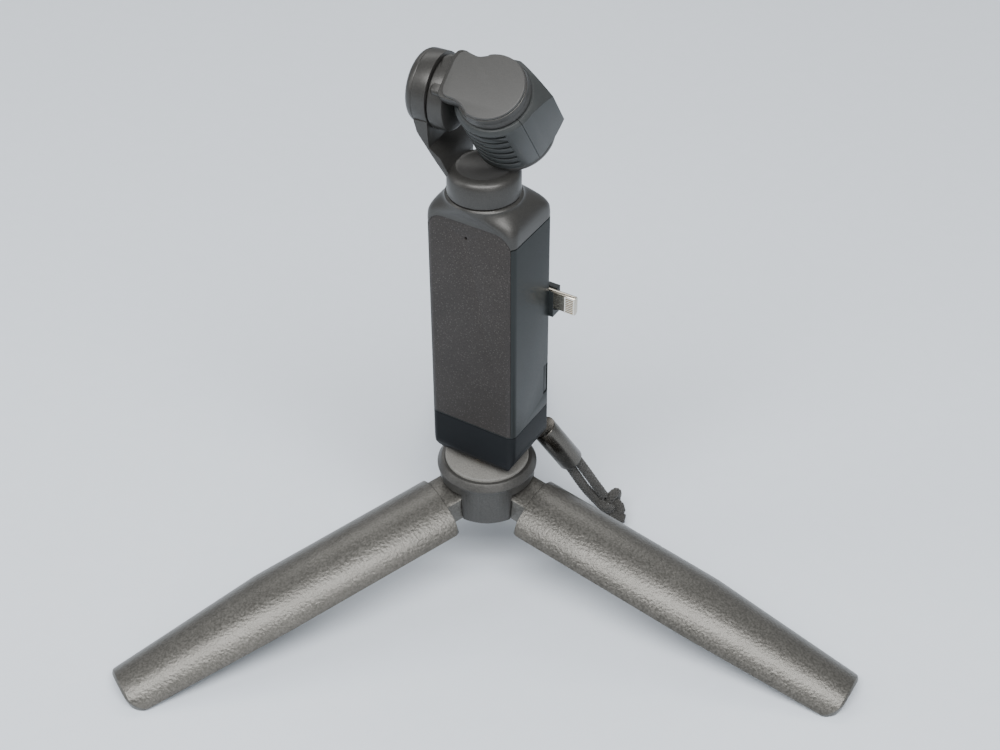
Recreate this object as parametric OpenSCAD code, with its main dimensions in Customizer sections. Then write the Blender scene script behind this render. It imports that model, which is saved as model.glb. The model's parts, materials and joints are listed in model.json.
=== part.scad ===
// Pocket gimbal camera on a folding three-leg mini tripod.
// Millimetres, Z up. The floor is z = 0 and the hub's axis is the Z axis.
// -Y is the side that the two front legs open towards; the third leg points to +Y.

/* [Tripod] */
// Radius of the tripod hub and of the closed grip
hub_r = 16; // [15:0.5:17]
// Height of the hub's upper edge above the floor
hub_top = 40; // [39:0.5:41]
// Length of a leg from its hinge pin to its tip
leg_len = 123; // [118:1:124]
// How far a leg swings out from the closed grip, in degrees
leg_open = 77.5; // [77:0.5:78]
// Wall thickness of a leg shell
leg_wall = 2.3; // [2:0.1:2.8]

/* [Handle] */
// Width of the handle
body_w = 30; // [29:0.5:31]
// Depth of the handle
body_d = 23; // [22:0.5:24]
// Turn of the handle on the tripod screw, in degrees
body_yaw = -30.4; // [-60:1:0]
// Height of the joint between handle and screw-on base
base_top = 61.4; // [60:0.5:64]
// Height of the seam under the top shoulder
seam_z = 132.4; // [130:0.5:134]
// Height of the collar under the pan motor
neck_z = 143.8; // [143:0.2:145]
// Radius of the handle's long edges
edge_r = 2.5; // [2:0.25:3]

/* [Gimbal] */
// Stored pan angle of the roll axis, in degrees
pan_angle = 154; // [90:1:180]
// Stored roll angle of the camera arm, in degrees
roll_angle = 56; // [0:1:80]
// Stored tilt angle of the lens, in degrees
tilt_angle = 61; // [-90:1:90]
// Height of the roll axis
roll_z = 172.7; // [172.5:0.1:173.5]
// Radius of the pan ring
ring_r = 10.8; // [10.6:0.1:11]
// Radius of the roll motor
roll_r = 10.4; // [10.2:0.05:10.5]
// Radius of the tilt motor
tilt_r = 10.4; // [10.2:0.1:10.6]
// Distance of the tilt axis behind the pan axis
tilt_back = 5.5; // [5:0.1:6]

/* [Camera head] */
// Radius of the rounded rear of the camera head
head_r = 11.9; // [11.5:0.1:12]
// Distance from the tilt axis to the front face
head_front = 11.9; // [11.3:0.1:12]
// Width of the head beyond the tilt axis' middle
head_side = 14.6; // [14:0.1:14.8]
// Number of cooling slots in the rear shell
vent_count = 6; // [3:1:6]

/* [Hidden] */
$fn = 96;
eps = 0.01;
gap = 0.3;

// Hub and hinges
hub_bottom = 24.8;
hinge_r = 10;
hinge_z = 30;
pin_r = 1.25;
pin_half = 9.4;
slot_half = 7.2;
slot_top = 36.3;
slot_in = 4.6;
seat_z = 43.4;
seat_r = 13.4;
screw_r = 3.1;
flange_r = 8;
// Directions of the three legs, seen from above
LEGS = [210, 330, 90];

// Leg, in its closed pose: hinge at the origin, leg along -Z, outside towards +X
ear_z = 7.4;
sector = 58.5;
knuckle_half = 6.8;
knuckle_r = 5;
taper_from = 70;
tip_r = 12.4;
tip_corner = 6.2;
ear_corner = 3.6;
foot_half = 6;

// Handle, in its own frame turned by body_yaw
body_y0 = 2.5 - body_d / 2;
body_y1 = 2.5 + body_d / 2;
body_x1 = body_w / 2;
wall = 1.8;
skin = 1;
panel_half = body_x1 - 1;
panel_top = 136.9;
panel_z0 = base_top + 0.5;
frame_z0 = base_top + 0.2;
shoulder_z0 = seam_z + 0.2;
slope_z = 137;
adapter_z = 102.5;
adapter_low = 6.2;
adapter_high = 3.3;
button_z = [88, 79];
button_r = 3.4;
power_z = 72.7;

// Motor, along +Z from its seam: the housing side is +Z, the turning side is -Z
motor_r = 8.2;
pocket_r = 8.6;
shaft_r = 1.5;
bearing_in = 1.55;
bearing_r = 3.3;
motor_depth = 3.6;
shaft_in = 4;

// Gimbal: seams along the roll axis and along the tilt axis
roll_seam = 12.75;
roll_disc_in = 7.5;
cap_in = 17;
cap_rise = 0.8;
cap_r = roll_r + 0.35;
tilt_seam = 6.7;
cover_in = 10.9;
cover_out = 11.9;
arm_end = 8.9;
bowl_r = 22;
side_arc = 25;
side_cover = 2.6;
lens_z = -2.6;
lens_r = 6.4;
face_up = 4;
face_down = 9.4;
vent_start = 5.3;

// Strap: route points of the two cords, and what they join
cord_r = 1.6;
barrel_top = [18, 10.5, 45];
barrel_end = [27.4, 13.4, 28.4];
CORD_UPPER = [[22.4, 11.4, 40.7], [24.4, 12, 37.3], [26.3, 12.6, 33.9], [28.8, 13.3, 29.6],
    [30.8, 13.8, 26], [33, 14, 22], [35.2, 14.1, 18], [37.2, 14.2, 14.4], [39.2, 14.2, 11]];
CORD_LOWER = [[19.4, 11.4, 39], [21.4, 12, 35.5], [23.3, 12.6, 32.1], [25.8, 13.3, 27.8],
    [27.6, 13.6, 24.4], [29.6, 13.8, 20.6], [31.6, 13.9, 16.8], [33.8, 14, 13.2], [36.4, 14, 9.8],
    [38, 14.1, 7.8]];
knot_at = [41.2, 14.2, 6.4];

// ---------- frames ----------

module at_leg(k) {
    rotate([0, 0, LEGS[k]]) translate([hinge_r, 0, hinge_z]) rotate([0, -leg_open, 0]) children();
}

module at_pin(k) {
    rotate([0, 0, LEGS[k]]) translate([hinge_r, 0, hinge_z]) rotate([90, 0, 0]) children();
}

module in_handle() {
    rotate([0, 0, body_yaw]) children();
}

// X is the roll axis, pointing to the roll motor
module in_pan() {
    translate([0, 0, roll_z]) rotate([0, 0, pan_angle]) children();
}

// Y is the tilt axis, pointing to the tilt motor
module in_roll() {
    in_pan() rotate([roll_angle, 0, 0]) children();
}

// The lens looks along -X
module in_head() {
    in_roll() translate([-tilt_back, 0, 0]) rotate([0, tilt_angle, 0]) children();
}

// Along Y from y0 to y1, the outline drawn in X and Z
module along_y(y0, y1) {
    translate([0, y1, 0]) rotate([90, 0, 0]) linear_extrude(y1 - y0) children();
}

// Along X from x0 to x1, the outline drawn in Y and Z
module along_x(x0, x1) {
    translate([x0, 0, 0]) rotate([90, 0, 90]) linear_extrude(x1 - x0) children();
}

// ---------- shared shapes ----------

module rounded(w, d, r) {
    square([w - 2 * r, d], center = true);
    square([w, d - 2 * r], center = true);
    for (x = [-1, 1], y = [-1, 1]) translate([x * (w / 2 - r), y * (d / 2 - r)]) circle(r);
}

// Rounded column with the handle's section, drawn in by inset
module handle_column(z0, z1, inset = 0) {
    translate([0, 2.5, z0]) linear_extrude(z1 - z0)
        rounded(body_w - 2 * inset, body_d - 2 * inset, max(edge_r - inset, 0.8));
}

module tube(r_in, r_out, z0, z1) {
    translate([0, 0, z0]) difference() {
        cylinder(r = r_out, h = z1 - z0);
        translate([0, 0, -1]) cylinder(r = r_in, h = z1 - z0 + 2);
    }
}

module motor_rotor_shape() {
    translate([0, 0, -gap]) cylinder(r = motor_r, h = 1);
    tube(motor_r - 0.5, motor_r, 0.6, motor_depth - 0.4);
    translate([0, 0, -shaft_in]) cylinder(r = shaft_r, h = shaft_in + motor_depth + 0.3);
}

module motor_stator_shape() {
    difference() {
        tube(bearing_r, 7.2, 1.1, motor_depth);
        for (a = [0 : 40 : 320]) rotate([0, 0, a]) translate([5.4, -0.5, 1]) cube([2.5, 1, motor_depth]);
    }
}

module motor_bearing_shape() {
    tube(bearing_in, bearing_r, 1.1, motor_depth);
}

// Room for one motor, cut from its housing
module motor_pocket() {
    translate([0, 0, -1]) cylinder(r = pocket_r, h = motor_depth + 1);
    cylinder(r = 2.4, h = motor_depth + 0.6);
}

// The motor frames: +Z points into the housing that holds the stator
module at_pan_motor() {
    translate([0, 0, neck_z]) rotate([180, 0, 0]) children();
}

module at_roll_motor() {
    in_pan() translate([roll_seam, 0, 0]) rotate([0, 90, 0]) children();
}

module at_tilt_motor() {
    in_roll() translate([-tilt_back, tilt_seam, 0]) rotate([-90, 0, 0]) children();
}

// ---------- tripod ----------

module hub_body() {
    color([0.27, 0.27, 0.27]) difference() {
        rotate_extrude() polygon([[0, hub_bottom], [hub_r - 2.2, hub_bottom], [hub_r - 1.2, hub_bottom + 1],
            [hub_r - 0.5, hub_top - 0.7], [hub_r, hub_top - 0.3], [hub_r, hub_top + 0.3],
            [hub_r - 1.5, 42.4], [0, 42.4]]);
        for (a = LEGS) rotate([0, 0, a])
            translate([slot_in, -slot_half, hub_bottom - 1]) cube([hub_r, 2 * slot_half, slot_top - hub_bottom + 1]);
        for (k = [0 : 2]) at_pin(k) translate([0, 0, -pin_half]) cylinder(r = pin_r, h = 2 * pin_half);
        translate([0, 0, 40.1]) cylinder(r = seat_r, h = 5);
        translate([0, 0, 37.6]) cylinder(r = flange_r + 0.1, h = 5);
        translate([0, 0, hub_bottom - 1]) cylinder(r = 2.6, h = 3);
    }
}

module seat_disc() {
    color([0.42, 0.41, 0.4]) difference() {
        translate([0, 0, 40.1]) cylinder(r = seat_r, h = seat_z - 40.1);
        translate([0, 0, 39]) cylinder(r = screw_r + 0.3, h = 6);
    }
}

module tripod_screw() {
    color([0.6, 0.6, 0.62]) {
        translate([0, 0, 37.6]) cylinder(r = flange_r, h = 2.4);
        translate([0, 0, 39]) cylinder(r = screw_r, h = 10.4);
        translate([0, 0, 49.4]) cylinder(r1 = screw_r, r2 = screw_r - 0.7, h = 0.7, $fn = 64);
    }
}

module hub_cap() {
    color([0.2, 0.2, 0.2]) translate([0, 0, hub_bottom]) cylinder(r = 2.6, h = 2);
}

module hinge_pin(k) {
    color([0.62, 0.62, 0.64]) at_pin(k) translate([0, 0, -pin_half]) cylinder(r = pin_r, h = 2 * pin_half);
}

// Front outline of a leg: straight sides and a blunt tip with round corners
module leg_outline() {
    half = tip_r * sin(sector) + 0.4;
    ear = hub_r * sin(sector) + 0.4;
    translate([-hub_r, tip_corner - leg_len]) square([2 * hub_r, leg_len - tip_corner - ear_z - ear_corner]);
    translate([ear_corner - ear, -ear_z - ear_corner - 1]) square([2 * ear - 2 * ear_corner, ear_corner + 1]);
    for (s = [-1, 1]) translate([s * (ear - ear_corner), -ear_z - ear_corner]) circle(ear_corner);
    translate([tip_corner - half, -leg_len]) square([2 * half - 2 * tip_corner, tip_corner + 1]);
    for (s = [-1, 1]) translate([s * (half - tip_corner), tip_corner - leg_len]) circle(tip_corner);
}

// Third of the closed grip: a tube that narrows towards the tip
module leg_tube(inset) {
    translate([-hinge_r, 0, 0]) intersection() {
        rotate_extrude() polygon([[hub_r - inset, 0], [hub_r - inset, -taper_from],
            [tip_r + 0.05 - inset, 0.8 - leg_len], [tip_r - 0.7 - inset, -leg_len], [0, -leg_len], [0, 0]]);
        translate([0, 0, -leg_len - 1]) linear_extrude(leg_len + 2)
            polygon([[0, 0], [2 * hub_r * cos(sector), 2 * hub_r * sin(sector)], [3 * hub_r, 0],
                [2 * hub_r * cos(sector), -2 * hub_r * sin(sector)]]);
    }
}

module leg(k) {
    color([0.3, 0.3, 0.29]) difference() {
        at_leg(k) difference() {
        union() {
            intersection() {
                difference() {
                    leg_tube(0);
                    translate([-hinge_r, 0, 0]) rotate_extrude() polygon([[0, 1], [hub_r - leg_wall, 1],
                        [hub_r - leg_wall, -taper_from], [tip_r - leg_wall, -leg_len - 1],
                        [0, -leg_len - 1]]);
                }
                along_x(-hub_r, hub_r) leg_outline();
            }
            // Knuckle round the hinge pin, and its neck into the shell
            along_y(-knuckle_half, knuckle_half) circle(knuckle_r);
            intersection() {
                along_y(-knuckle_half, knuckle_half)
                    polygon([[-3.6, 0], [knuckle_r - 0.2, 0], [6.2, -4.6], [6.2, -15], [2, -15], [-3.6, -8]]);
                translate([-hinge_r, 0, -20]) cylinder(r = hub_r - eps, h = 25);
            }
        }
        rotate([90, 0, 0]) translate([0, 0, -hub_r]) cylinder(r = pin_r + 0.05, h = 2 * hub_r);
        }
        // The lower edges of the tip are cut level, just clear of the floor
        translate([-200, -200, -20]) cube([400, 400, 20.4]);
    }
}

// Rubber pad in the tip, cut level with the floor in the open pose
module foot(k) {
    c = cos(leg_open);
    s = sin(leg_open);
    color([0.1, 0.1, 0.1]) at_leg(k) intersection() {
        translate([-hinge_r, 0, 0]) rotate_extrude() polygon([[0, 0], [hub_r - leg_wall, 0],
            [hub_r - leg_wall, -taper_from], [tip_r - leg_wall, -leg_len - 1], [0, -leg_len - 1]]);
        along_y(-foot_half, foot_half) polygon([[5, -108], [5, -119.5],
            [(119.5 * c - hinge_z) / s, -119.5], [(110.5 * c - hinge_z) / s, -110.5],
            [(108 * c - hinge_z) / s + 1, -108]]);
    }
}

// ---------- base and handle ----------

module base_mount() {
    h = base_top - seat_z;
    color([0.13, 0.14, 0.16]) in_handle() difference() {
        intersection() {
            handle_column(seat_z, base_top);
            along_y(body_y0 - 1, body_y1 + 1) translate([0, seat_z + h]) rounded(body_w, 2 * h, 10.5);
            along_x(-body_x1 - 1, body_x1 + 1) translate([2.5, seat_z + h]) rounded(body_d, 2 * h, 7.5);
        }
        translate([0, 0, seat_z - 1]) cylinder(r = 5.5, h = 9);
        translate([0, 0, seat_z + 10]) handle_pocket(base_top - seat_z - 9);
    }
}

// Square well inside the base that the handle's foot plugs into
module handle_pocket(h) {
    translate([-9.9, -4.9, 0]) cube([19.8, 14.8, h]);
}

module thread_insert() {
    color([0.72, 0.58, 0.3]) tube(screw_r + 0.1, 5.5, seat_z + 0.6, seat_z + 8);
}

module handle_frame() {
    color([0.2, 0.22, 0.24]) in_handle() difference() {
        union() {
            handle_column(frame_z0, seam_z);
            translate([-9.6, -4.6, base_top - 8]) cube([19.2, 14.2, 8.4]);
        }
        handle_column(frame_z0 + wall, seam_z + 1, wall);
        // Seats for the front and the rear panel
        translate([-panel_half, body_y0 - 1, panel_z0]) cube([2 * panel_half, skin + 1, 90]);
        translate([-panel_half, body_y1 - skin, panel_z0]) cube([2 * panel_half, skin + 1, 90]);
        // Window behind the screen and the buttons
        translate([-11.2, body_y1 - wall - 1, 73.4]) cube([22.4, wall + 2, 22.3]);
        translate([-11.2, body_y1 - wall - 1, 110]) cube([22.4, wall + 2, 26]);
        // Side recess of the power button
        translate([body_x1 - wall - 1, 9.6, power_z - 5.6]) cube([wall + 2, 2.6, 11.2]);
        // Seat of the phone adapter at the rear edge
        translate([-9.3, body_y1 - skin - 0.8, adapter_z - adapter_low - 0.2])
            cube([body_x1 + 11, 3, adapter_low + adapter_high + 0.4]);
        // Charging socket through the plug-in foot
        translate([-4.5, 1.5, base_top - 9]) cube([9, 3, 12]);
    }
}

module top_shoulder() {
    color([0.3, 0.29, 0.28]) difference() {
        in_handle() difference() {
            union() {
                handle_column(shoulder_z0, slope_z - 0.9);
                hull() {
                    handle_column(slope_z - 1, slope_z, 0, $fn = 32);
                    translate([0, 2.5, slope_z + 1.4]) linear_extrude(0.1, $fn = 32)
                        rounded(body_w - 2.8, body_d - 2.6, 5);
                    translate([0, 0, neck_z - 0.8]) cylinder(r = 11.8, h = 0.1, $fn = 48);
                    translate([0, 0, neck_z - 0.1]) cylinder(r = 11, h = 0.1, $fn = 48);
                }
            }
            along_y(body_y0 - 1, body_y0 + skin) panel_outline(panel_half, 100, panel_top + 0.1);
            along_y(body_y1 - skin, body_y1 + 1) panel_outline(panel_half, 100, panel_top + 0.1);
            handle_column(shoulder_z0 - 1, 136, wall);
        }
        at_pan_motor() motor_pocket();
        translate([0, 0, 130]) cylinder(r = 2.4, h = 12);
    }
}

// Plate with two rounded upper corners, standing in X and Z
module panel_outline(half, z0, z1) {
    r = 5.5;
    translate([-half, z0]) square([2 * half, z1 - z0 - r]);
    translate([r - half, z0]) square([2 * half - 2 * r, z1 - z0]);
    for (s = [-1, 1]) translate([s * (half - r), z1 - r]) circle(r);
}

module front_panel() {
    color([0.2, 0.19, 0.19]) in_handle() difference() {
        intersection() {
            along_y(body_y0, body_y0 + skin) panel_outline(panel_half - 0.1, panel_z0 + 0.1, panel_top);
            handle_column(panel_z0, panel_top + 1);
        }
        translate([-0.8, body_y0 + 2, 132]) rotate([90, 0, 0]) cylinder(r = 0.5, h = 3);
    }
}

module rear_panel() {
    color([0.09, 0.09, 0.1]) in_handle() difference() {
        intersection() {
            along_y(body_y1 - skin, body_y1) panel_outline(panel_half - 0.1, panel_z0 + 0.1, panel_top);
            handle_column(panel_z0, panel_top + 1);
        }
        along_y(body_y1 - 2, body_y1 + 1) translate([-10.8, 110.4]) square([21.6, 21.6]);
        for (z = button_z) translate([0, body_y1 + 1, z]) rotate([90, 0, 0]) cylinder(r = button_r + 0.3, h = 4);
        translate([-9.3, body_y1 - 2, adapter_z - adapter_low - 0.2])
            cube([30, 4, adapter_low + adapter_high + 0.4]);
    }
}

module screen_glass() {
    color([0.03, 0.03, 0.04]) in_handle() along_y(body_y1 - 0.9, body_y1) translate([-10.7, 110.5])
        square([21.4, 21.4]);
}

module display_module() {
    color([0.25, 0.27, 0.3]) in_handle() translate([-10.4, body_y1 - 3.2, 110.8]) cube([20.8, 2.3, 20.8]);
}

module battery() {
    color([0.15, 0.3, 0.5]) in_handle() translate([-11.5, body_y0 + 2.2, 70]) cube([23, 9.6, 46]);
}

module main_board() {
    color([0.05, 0.3, 0.2]) in_handle() translate([-12, 5.4, 66]) cube([24, 1, 62]);
}

module board_shields() {
    color([0.7, 0.7, 0.68]) in_handle() {
        translate([-9, 6.4, 98]) cube([18, 1.6, 9]);
        translate([-9, 6.4, 112]) cube([18, 1.6, 14]);
        translate([-8, 3.2, 119]) cube([16, 2.2, 8]);
    }
}

module usb_port() {
    color([0.7, 0.7, 0.72]) in_handle() difference() {
        translate([-4.5, 1.5, base_top - 8]) cube([9, 3, 9]);
        translate([-4, 2, base_top - 9]) cube([8, 2, 8.5]);
    }
}

module microphones() {
    color([0.75, 0.7, 0.5]) in_handle() {
        translate([-0.8, body_y0 + wall, 130.6]) rotate([-90, 0, 0]) cylinder(r = 1.2, h = 1);
        translate([body_x1 - wall - 0.8, 2, 128]) rotate([0, 90, 0]) cylinder(r = 1.6, h = 0.8);
        translate([-body_x1 + wall, 2, 128]) rotate([0, 90, 0]) cylinder(r = 1.6, h = 0.8);
    }
}

module housing_screws() {
    color([0.55, 0.55, 0.56]) in_handle() for (x = [-10.2, 10.2], z = [68, 126])
        translate([x, 5.4, z]) rotate([90, 0, 0]) cylinder(r = 1.5, h = 1);
}

module adapter_shell() {
    color([0.26, 0.26, 0.26]) in_handle() difference() {
        translate([-9.1, body_y1 - skin - 0.8, adapter_z - adapter_low])
            cube([25.5, 4.4, adapter_low + adapter_high]);
        translate([13, body_y1 - 1.6, adapter_z - 3.3]) cube([6, 2.2, 6.6 + eps]);
    }
}

module adapter_plug() {
    color([0.75, 0.7, 0.62]) in_handle() translate([13, body_y1 - 1.6, adapter_z])
        along_x(0, 10.6) translate([1.1, 0]) rounded(2.2, 6.6, 1.05);
}

module adapter_contacts() {
    color([0.85, 0.75, 0.45]) in_handle() for (i = [-3.5 : 1 : 3.5])
        translate([19.6, body_y1 - 1.6 - 0.12, adapter_z + i * 0.66 - 0.2]) cube([2.6, 0.12, 0.4]);
}

module power_button() {
    color([0.24, 0.26, 0.28]) in_handle() translate([body_x1 - 1.6, 9.9, power_z - 5.3]) cube([1.4, 2, 10.6]);
}

module round_button(z) {
    color([0.13, 0.13, 0.14]) in_handle() translate([0, body_y1 + 0.3, z]) rotate([90, 0, 0])
        cylinder(r = button_r, h = 2.2);
}

// ---------- gimbal ----------

module pan_arm() {
    color([0.3, 0.29, 0.28]) difference() {
        union() {
            difference() {
                rotate_extrude() union() {
                    polygon([[0, neck_z + gap], [ring_r, neck_z + gap], [ring_r, 150], [10.2, 151.2],
                        [9.2, 151.9], [8.1, 152.2], [0, 152.2]]);
                }
                translate([0, 0, roll_z]) sphere(r = bowl_r, $fn = 128);
            }
            intersection() {
                in_pan() intersection() {
                    along_y(-12, 12) polygon([[roll_seam, 13], [cap_in, 13], [cap_in, -5.6], [15.9, -10],
                        [13.4, -18], [11.2, -24], [10.6, -28.4], [7.6, -28.4], [7.8, -21],
                        [9.4, -16.6], [roll_seam, -13.6]]);
                    along_x(0, 20) union() {
                        circle(roll_r);
                        translate([0, cap_rise]) circle(cap_r);
                        polygon([[-9.8, -3], [9.4, -5], [9.2, -10], [8, -18], [6.4, -24], [5.6, -29], [-7, -29],
                            [-8.4, -22], [-9.6, -15]]);
                    }
                }
                rotate_extrude() polygon([[0, neck_z + gap], [ring_r - eps, neck_z + gap],
                    [ring_r - eps, 149.4], [22, 170], [22, 190], [0, 190]]);
            }
        }
        at_roll_motor() motor_pocket();
        translate([0, 0, neck_z - 1]) cylinder(r = shaft_r, h = shaft_in + 1);
    }
}

module roll_cap() {
    r = 2.8;
    color([0.3, 0.29, 0.28]) in_pan() translate([cap_in, 0, cap_rise]) rotate([0, 90, 0]) rotate_extrude()
        intersection() {
            square([cap_r, r]);
            union() {
                square([cap_r - r, r]);
                translate([cap_r - r, 0]) circle(r);
            }
        }
}

// Flat outline of the arm between the roll disc and the tilt motor, in X and Z
module arm_outline(trim = 0) {
    t = trim;
    translate([-tilt_back, 0]) circle(tilt_r - 0.3 - trim);
    polygon([[-tilt_back, 0], [-1.5, 8.9 - t], [1, 7.9 - t], [3.5, 8.2 - t], [6, 9 - t], [8.6 - t, 8.4 - t],
        [arm_end - t, 7.2 - t], [arm_end - t, t - 5.2], [8.6 - t, t - 6.2], [6, t - 6.8], [3, t - 6.4],
        [0.8, t - 6.9], [-1.5, t - 8.9]]);
}

module tilt_arm() {
    color([0.28, 0.28, 0.27]) difference() {
        in_roll() union() {
            translate([roll_disc_in, 0, 0]) rotate([0, 90, 0])
                cylinder(r = roll_r, h = roll_seam - gap - roll_disc_in);
            translate([-tilt_back, 0, 0]) rotate([-90, 0, 0]) translate([0, 0, tilt_seam])
                rotate_extrude() polygon([[0, 0], [tilt_r, 0], [tilt_r - 0.35, cover_in - tilt_seam],
                    [0, cover_in - tilt_seam]]);
            along_y(tilt_seam, cover_in) arm_outline();
        }
        at_tilt_motor() motor_pocket();
        at_roll_motor() translate([0, 0, -shaft_in]) cylinder(r = shaft_r, h = shaft_in + 1);
    }
}

module arm_cover() {
    color([0.24, 0.24, 0.24]) in_roll() {
        along_y(cover_in, cover_out - 0.4) arm_outline(0.3);
        along_y(cover_out - 0.4, cover_out) arm_outline(0.7);
    }
}

// ---------- camera head ----------

// Side outline of the head in X and Z: round at the rear, narrowing to the front face
module head_profile(inset = 0) {
    circle(head_r - inset);
    polygon([[0, head_r - inset], [-5.5, 10.6 - inset], [-9.2, 8 - inset], [inset - head_front, face_up],
        [inset - head_front, inset - face_down], [-6, inset - 10.9], [0, inset - head_r]]);
}

// The whole head's outer form, drawn in by inset
module head_form(inset = 0) {
    intersection() {
        along_y(inset - head_side, tilt_seam - gap - inset) head_profile(inset);
        // Shoulder round the tilt motor
        rotate([-90, 0, 0]) translate([0, 0, -20]) rotate_extrude()
            polygon([[0, 0], [22, 0], [22, 20 - 5.2 - inset], [10.9 - inset, 20 + tilt_seam - gap - inset + eps],
                [0, 20 + tilt_seam - gap - inset + eps]]);
        // Rounded outer side of the front half
        linear_extrude(40, center = true) intersection() {
            translate([-20, -20]) square(40);
            union() {
                translate([0, inset - head_side + side_arc]) circle(side_arc);
                translate([-20, inset - head_side + 3]) square([40, 30]);
                translate([0, inset - head_side]) square([20, 40]);
            }
        }
    }
}

module head_rear_shell() {
    color([0.25, 0.27, 0.29]) in_head() difference() {
        intersection() {
            head_form();
            // A narrow flat runs down the middle of the back
            translate([0.1, -30, -30]) cube([head_r - 0.12, 60, 60]);
        }
        along_y(1.6 - head_side, 2.5) circle(head_r - 1.6);
        for (i = [0 : vent_count - 1]) along_y(4.1 - i * 3.1 - 0.5, 4.1 - i * 3.1 + 0.5) difference() {
            square(40, center = true);
            circle(head_r - 1);
            translate([-40, -20]) square([40 + vent_start, 40]);
        }
        rotate([-90, 0, 0]) cylinder(r = shaft_r, h = 20);
    }
}

module head_front_shell() {
    color([0.27, 0.29, 0.31]) in_head() difference() {
        intersection() {
            head_form();
            translate([-60, -30, -30]) cube([60, 60, 60]);
        }
        along_y(-10.4, 2.5) head_profile(1.6);
        translate([-20, -3.4, lens_z]) rotate([0, 90, 0]) cylinder(r = lens_r, h = 15);
        rotate([-90, 0, 0]) cylinder(r = shaft_r, h = 20);
    }
}

module head_side_cover() {
    r = 1.6;
    color([0.32, 0.31, 0.3]) in_head() translate([0, -head_side, 0]) rotate([90, 0, 0]) rotate_extrude()
        intersection() {
            square([head_r, side_cover]);
            union() {
                square([head_r - r, side_cover]);
                square([head_r, side_cover - r]);
                translate([head_r - r, side_cover - r]) circle(r);
            }
        }
}

module lens_ring() {
    color([0.08, 0.08, 0.08]) in_head() translate([-head_front, -3.4, lens_z]) rotate([0, 90, 0])
        tube(lens_r - 1.2, lens_r, -0.2, 1.6);
}

module lens_glass() {
    color([0.1, 0.12, 0.2, 0.6]) in_head() translate([-head_front, -3.4, lens_z]) rotate([0, 90, 0])
        translate([0, 0, 0.3]) cylinder(r = lens_r - 1.2, h = 0.8);
}

module lens_barrel() {
    color([0.12, 0.12, 0.12]) in_head() translate([-head_front, -3.4, lens_z]) rotate([0, 90, 0])
        tube(3.2, lens_r - 1.2, 1.6, 9.6);
}

module sensor_board() {
    color([0.05, 0.25, 0.4]) in_head() translate([-head_front + 9.6, -3.4 - 6.5, -6.5]) cube([1.2, 12, 12]);
}

// ---------- strap ----------

function unit(v) = v / norm(v);
function side_of(d) = unit(cross(d, [0.2, 1, 0.1]));
function tangent(p, i) = unit(p[min(i + 1, len(p) - 1)] - p[max(i - 1, 0)]);
function ring(p, i, r) = let (d = tangent(p, i), u = side_of(d), v = cross(d, u))
    [for (a = [0 : 45 : 315]) p[i] + r * (cos(a) * u + sin(a) * v)];

module cord(p) {
    n = len(p);
    color([0.14, 0.14, 0.13]) polyhedron(
        points = [for (i = [0 : n - 1]) each ring(p, i, cord_r)],
        faces = concat(
            [[for (j = [0 : 7]) j]],
            [[for (j = [7 : -1 : 0]) (n - 1) * 8 + j]],
            [for (i = [0 : n - 2], j = [0 : 7])
                [i * 8 + j, (i + 1) * 8 + j, (i + 1) * 8 + (j + 1) % 8, i * 8 + (j + 1) % 8]]));
}

// From point a to point b along the child's +Z
module between(a, b) {
    d = b - a;
    translate(a) rotate([0, acos(d[2] / norm(d)), atan2(d[1], d[0])]) children();
}

module strap_anchor() {
    color([0.5, 0.5, 0.5]) in_handle() translate([9.8, body_y1, seat_z + 7.6]) difference() {
        translate([-2, 0, -3.2]) cube([4, 3.2, 6]);
        translate([-3, 1.7, -0.2]) rotate([0, 90, 0]) cylinder(r = 0.9, h = 6);
    }
}

module strap_barrel() {
    l = norm(barrel_end - barrel_top);
    color([0.35, 0.34, 0.33]) between(barrel_top, barrel_end) difference() {
        cylinder(r = 4.2, h = l);
        translate([0, 0, 3]) cylinder(r = 3.7, h = l);
    }
}

// Round lump of cord, turned from short cones
module lump(r) {
    rotate_extrude($fn = 48) polygon([[0, -r], [0.56 * r, -0.84 * r], [0.9 * r, -0.45 * r], [r, 0],
        [0.9 * r, 0.45 * r], [0.56 * r, 0.84 * r], [0, r]]);
}

module strap_knot() {
    color([0.14, 0.14, 0.13]) translate(knot_at) {
        lump(5.4);
        translate([3, -2.4, -2.4]) rotate([0, 40, -38]) lump(3.9);
    }
}

hub_body();
seat_disc();
tripod_screw();
hub_cap();
hinge_pin(0);  // hinge_pin_left
hinge_pin(1);  // hinge_pin_right
hinge_pin(2);  // hinge_pin_rear
leg(0);  // leg_left
leg(1);  // leg_right
leg(2);  // leg_rear
foot(0);  // foot_left
foot(1);  // foot_right
foot(2);  // foot_rear
base_mount();
thread_insert();
strap_anchor();
strap_barrel();
cord(CORD_UPPER);  // strap_cord_upper
cord(CORD_LOWER);  // strap_cord_lower
strap_knot();
handle_frame();
top_shoulder();
front_panel();
rear_panel();
screen_glass();
display_module();
battery();
main_board();
board_shields();
usb_port();
microphones();
housing_screws();
adapter_shell();
adapter_plug();
adapter_contacts();
power_button();
round_button(button_z[0]);  // shutter_button
round_button(button_z[1]);  // mode_button
color([0.6, 0.4, 0.25]) at_pan_motor() motor_stator_shape();  // pan_stator
color([0.7, 0.7, 0.72]) at_pan_motor() motor_bearing_shape();  // pan_bearing
color([0.6, 0.6, 0.62]) at_pan_motor() motor_rotor_shape();  // pan_rotor
pan_arm();
color([0.6, 0.4, 0.25]) at_roll_motor() motor_stator_shape();  // roll_stator
color([0.7, 0.7, 0.72]) at_roll_motor() motor_bearing_shape();  // roll_bearing
roll_cap();
color([0.6, 0.6, 0.62]) at_roll_motor() motor_rotor_shape();  // roll_rotor
tilt_arm();
color([0.6, 0.4, 0.25]) at_tilt_motor() motor_stator_shape();  // tilt_stator
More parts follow.
